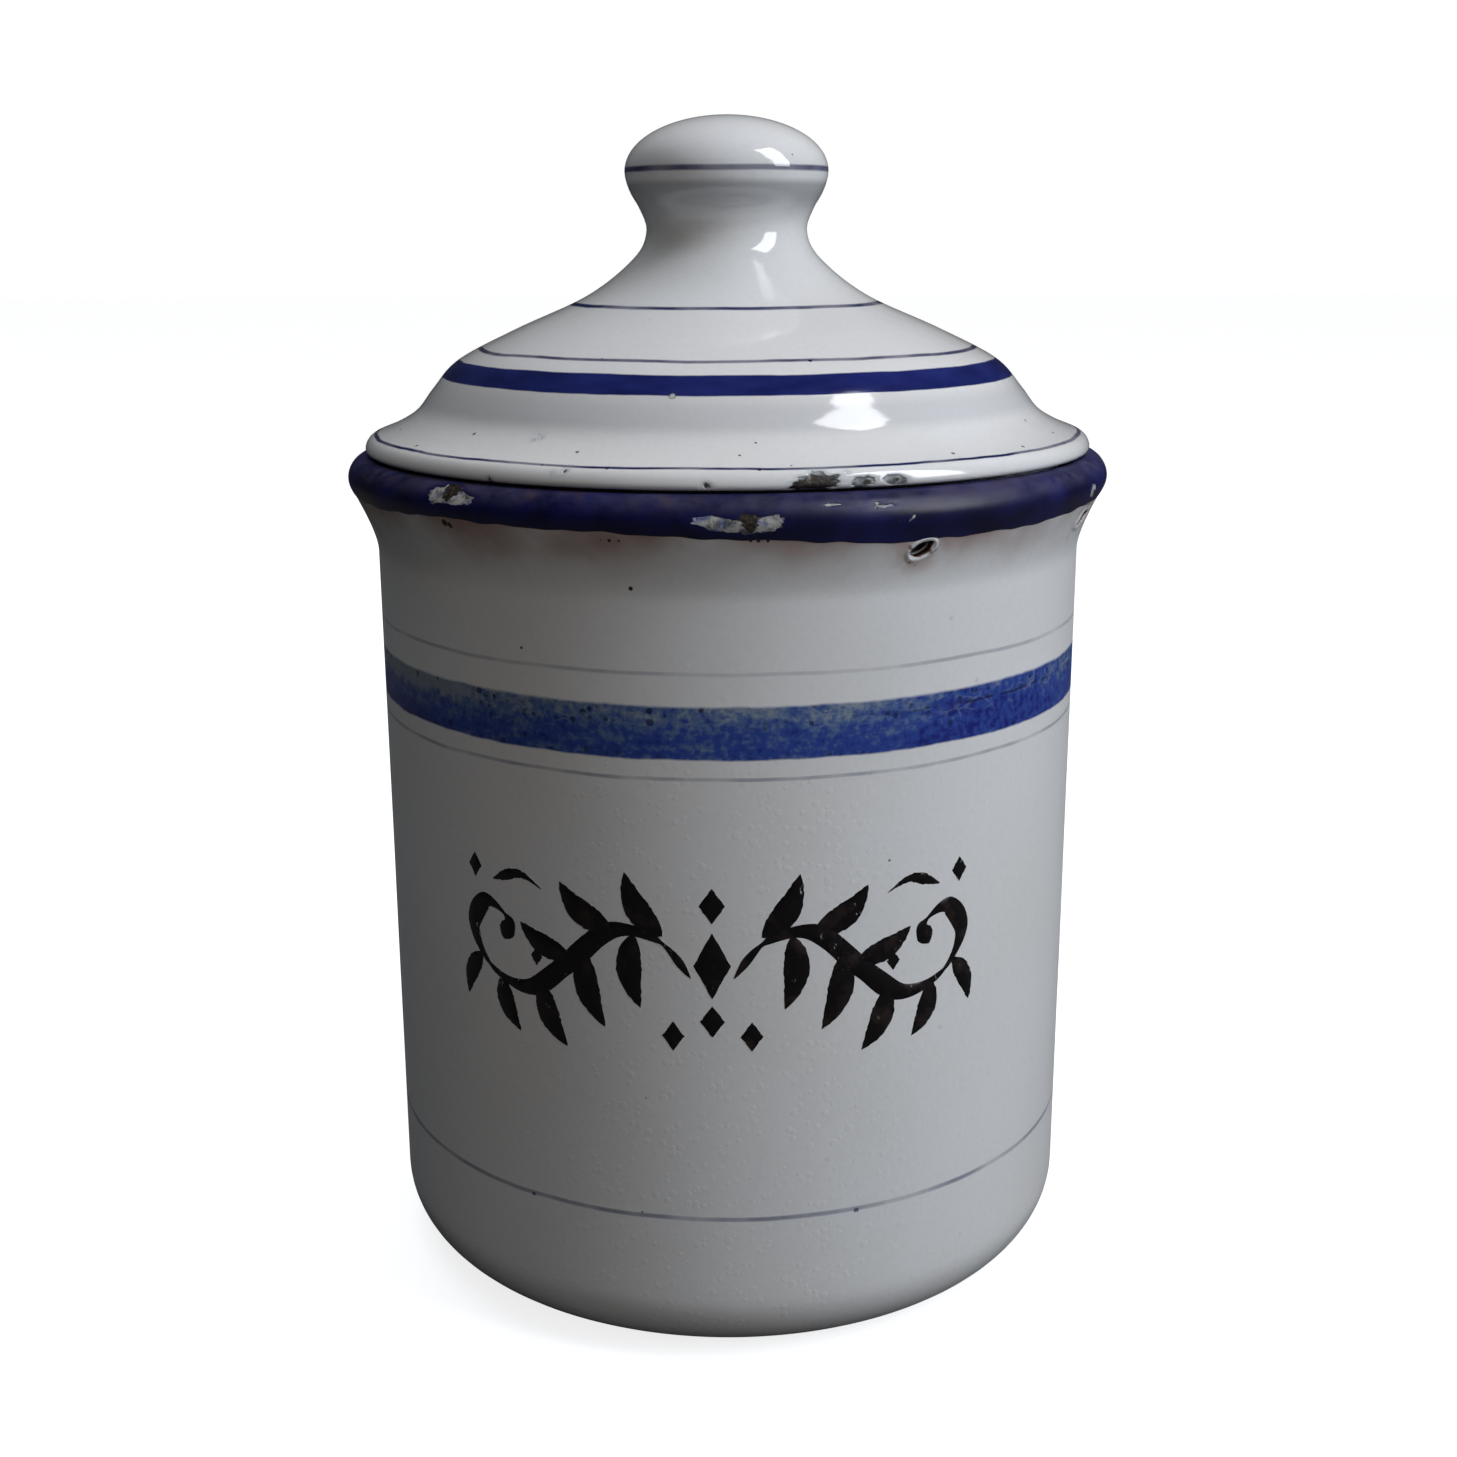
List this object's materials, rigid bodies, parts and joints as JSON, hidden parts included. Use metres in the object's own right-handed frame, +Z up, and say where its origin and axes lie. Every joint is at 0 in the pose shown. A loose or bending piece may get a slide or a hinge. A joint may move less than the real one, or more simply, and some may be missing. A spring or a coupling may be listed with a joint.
{
  "type": "enamelled kitchen canister",
  "caption": "Round enamelled steel storage canister with a rolled blue rim, vent holes below it, and a stepped lift-off lid with a domed knob.",
  "frame": {"origin": "centre of the flat base, on the surface that the canister stands on", "axes": "+Z up along the axis of the canister; -Y is the decorated front"},
  "size_m": [0.1018, 0.1018, 0.1546],
  "materials": {
    "drawn_steel": "bare low-carbon sheet, dark and lightly rusted where a chip exposes it",
    "steel_wire": "drawn wire, hidden in the rolled rim",
    "white_enamel": "glossy white vitreous enamel with brushed-on blue lines and bands",
    "cobalt_enamel": "glossy cobalt blue vitreous enamel, chipped",
    "enamelled_collar": "sheet steel under a thin white vitreous enamel"
  },
  "bodies": {
    "jar": {"jar_shell": "drawn_steel", "rim_wire": "steel_wire", "jar_outer_enamel": "white_enamel", "jar_inner_enamel": "white_enamel", "rim_enamel": "cobalt_enamel"},
    "lid": {"lid_shell": "drawn_steel", "knob_cap": "drawn_steel", "lid_skirt": "enamelled_collar", "lid_outer_enamel": "white_enamel", "lid_inner_enamel": "white_enamel"}
  },
  "joints": [
    {"name": "lid_lift", "type": "slide", "parent": "jar", "child": "lid", "axis": [0, 0, 1], "range_m": [0, 0.06]}
  ]
}
